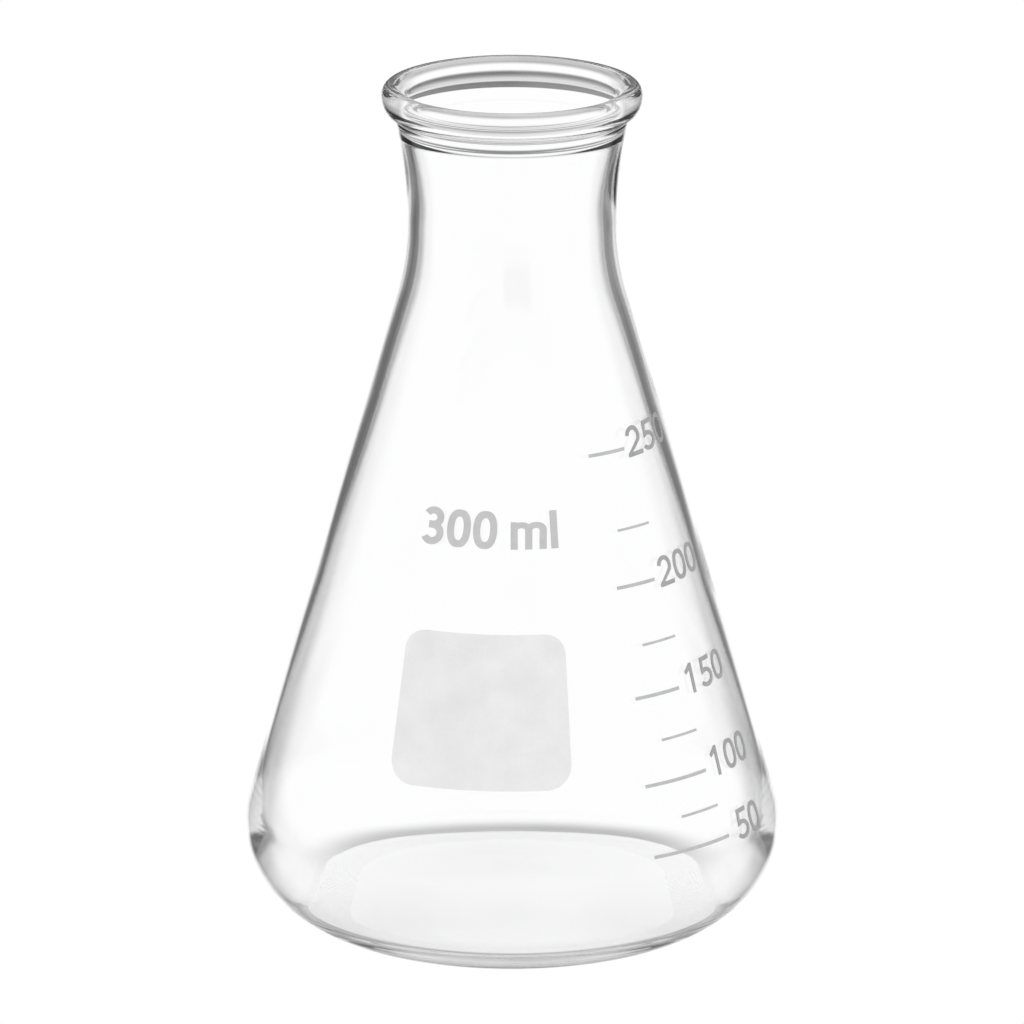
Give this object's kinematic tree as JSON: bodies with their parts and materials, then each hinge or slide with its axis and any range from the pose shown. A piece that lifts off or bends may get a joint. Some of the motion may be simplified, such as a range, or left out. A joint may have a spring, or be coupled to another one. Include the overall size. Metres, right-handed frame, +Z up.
{
  "type": "erlenmeyer flask",
  "caption": "Conical laboratory flask of clear glass with a narrow neck, a heavy rim, and fired enamel volume marks.",
  "frame": {"origin": "middle of the base, on the surface that the flask stands on", "axes": "+Z up along the flask's axis, the marks face -Y, +X to the right of someone reading them"},
  "size_m": [0.087, 0.087, 0.1386],
  "materials": {
    "glass": "clear fire-polished borosilicate glass",
    "spot_enamel": "white fired enamel, matt enough to write on",
    "print_enamel": "grey-white fired enamel print"
  },
  "bodies": {
    "root": {"capacity_0_first": "print_enamel", "capacity_0_second": "print_enamel", "capacity_3": "print_enamel", "capacity_l": "print_enamel", "capacity_m": "print_enamel", "flask_body": "glass", "line_050": "print_enamel", "line_075": "print_enamel", "line_100": "print_enamel", "line_125": "print_enamel", "line_150": "print_enamel", "line_175": "print_enamel", "line_200": "print_enamel", "line_225": "print_enamel", "line_250": "print_enamel", "marking_spot": "spot_enamel", "numeral_050_tens": "print_enamel", "numeral_050_units": "print_enamel", "numeral_100_hundreds": "print_enamel", "numeral_100_tens": "print_enamel", "numeral_100_units": "print_enamel", "numeral_150_hundreds": "print_enamel", "numeral_150_tens": "print_enamel", "numeral_150_units": "print_enamel", "numeral_200_hundreds": "print_enamel", "numeral_200_tens": "print_enamel", "numeral_200_units": "print_enamel", "numeral_250_hundreds": "print_enamel", "numeral_250_tens": "print_enamel", "numeral_250_units": "print_enamel"}
  },
  "joints": []
}
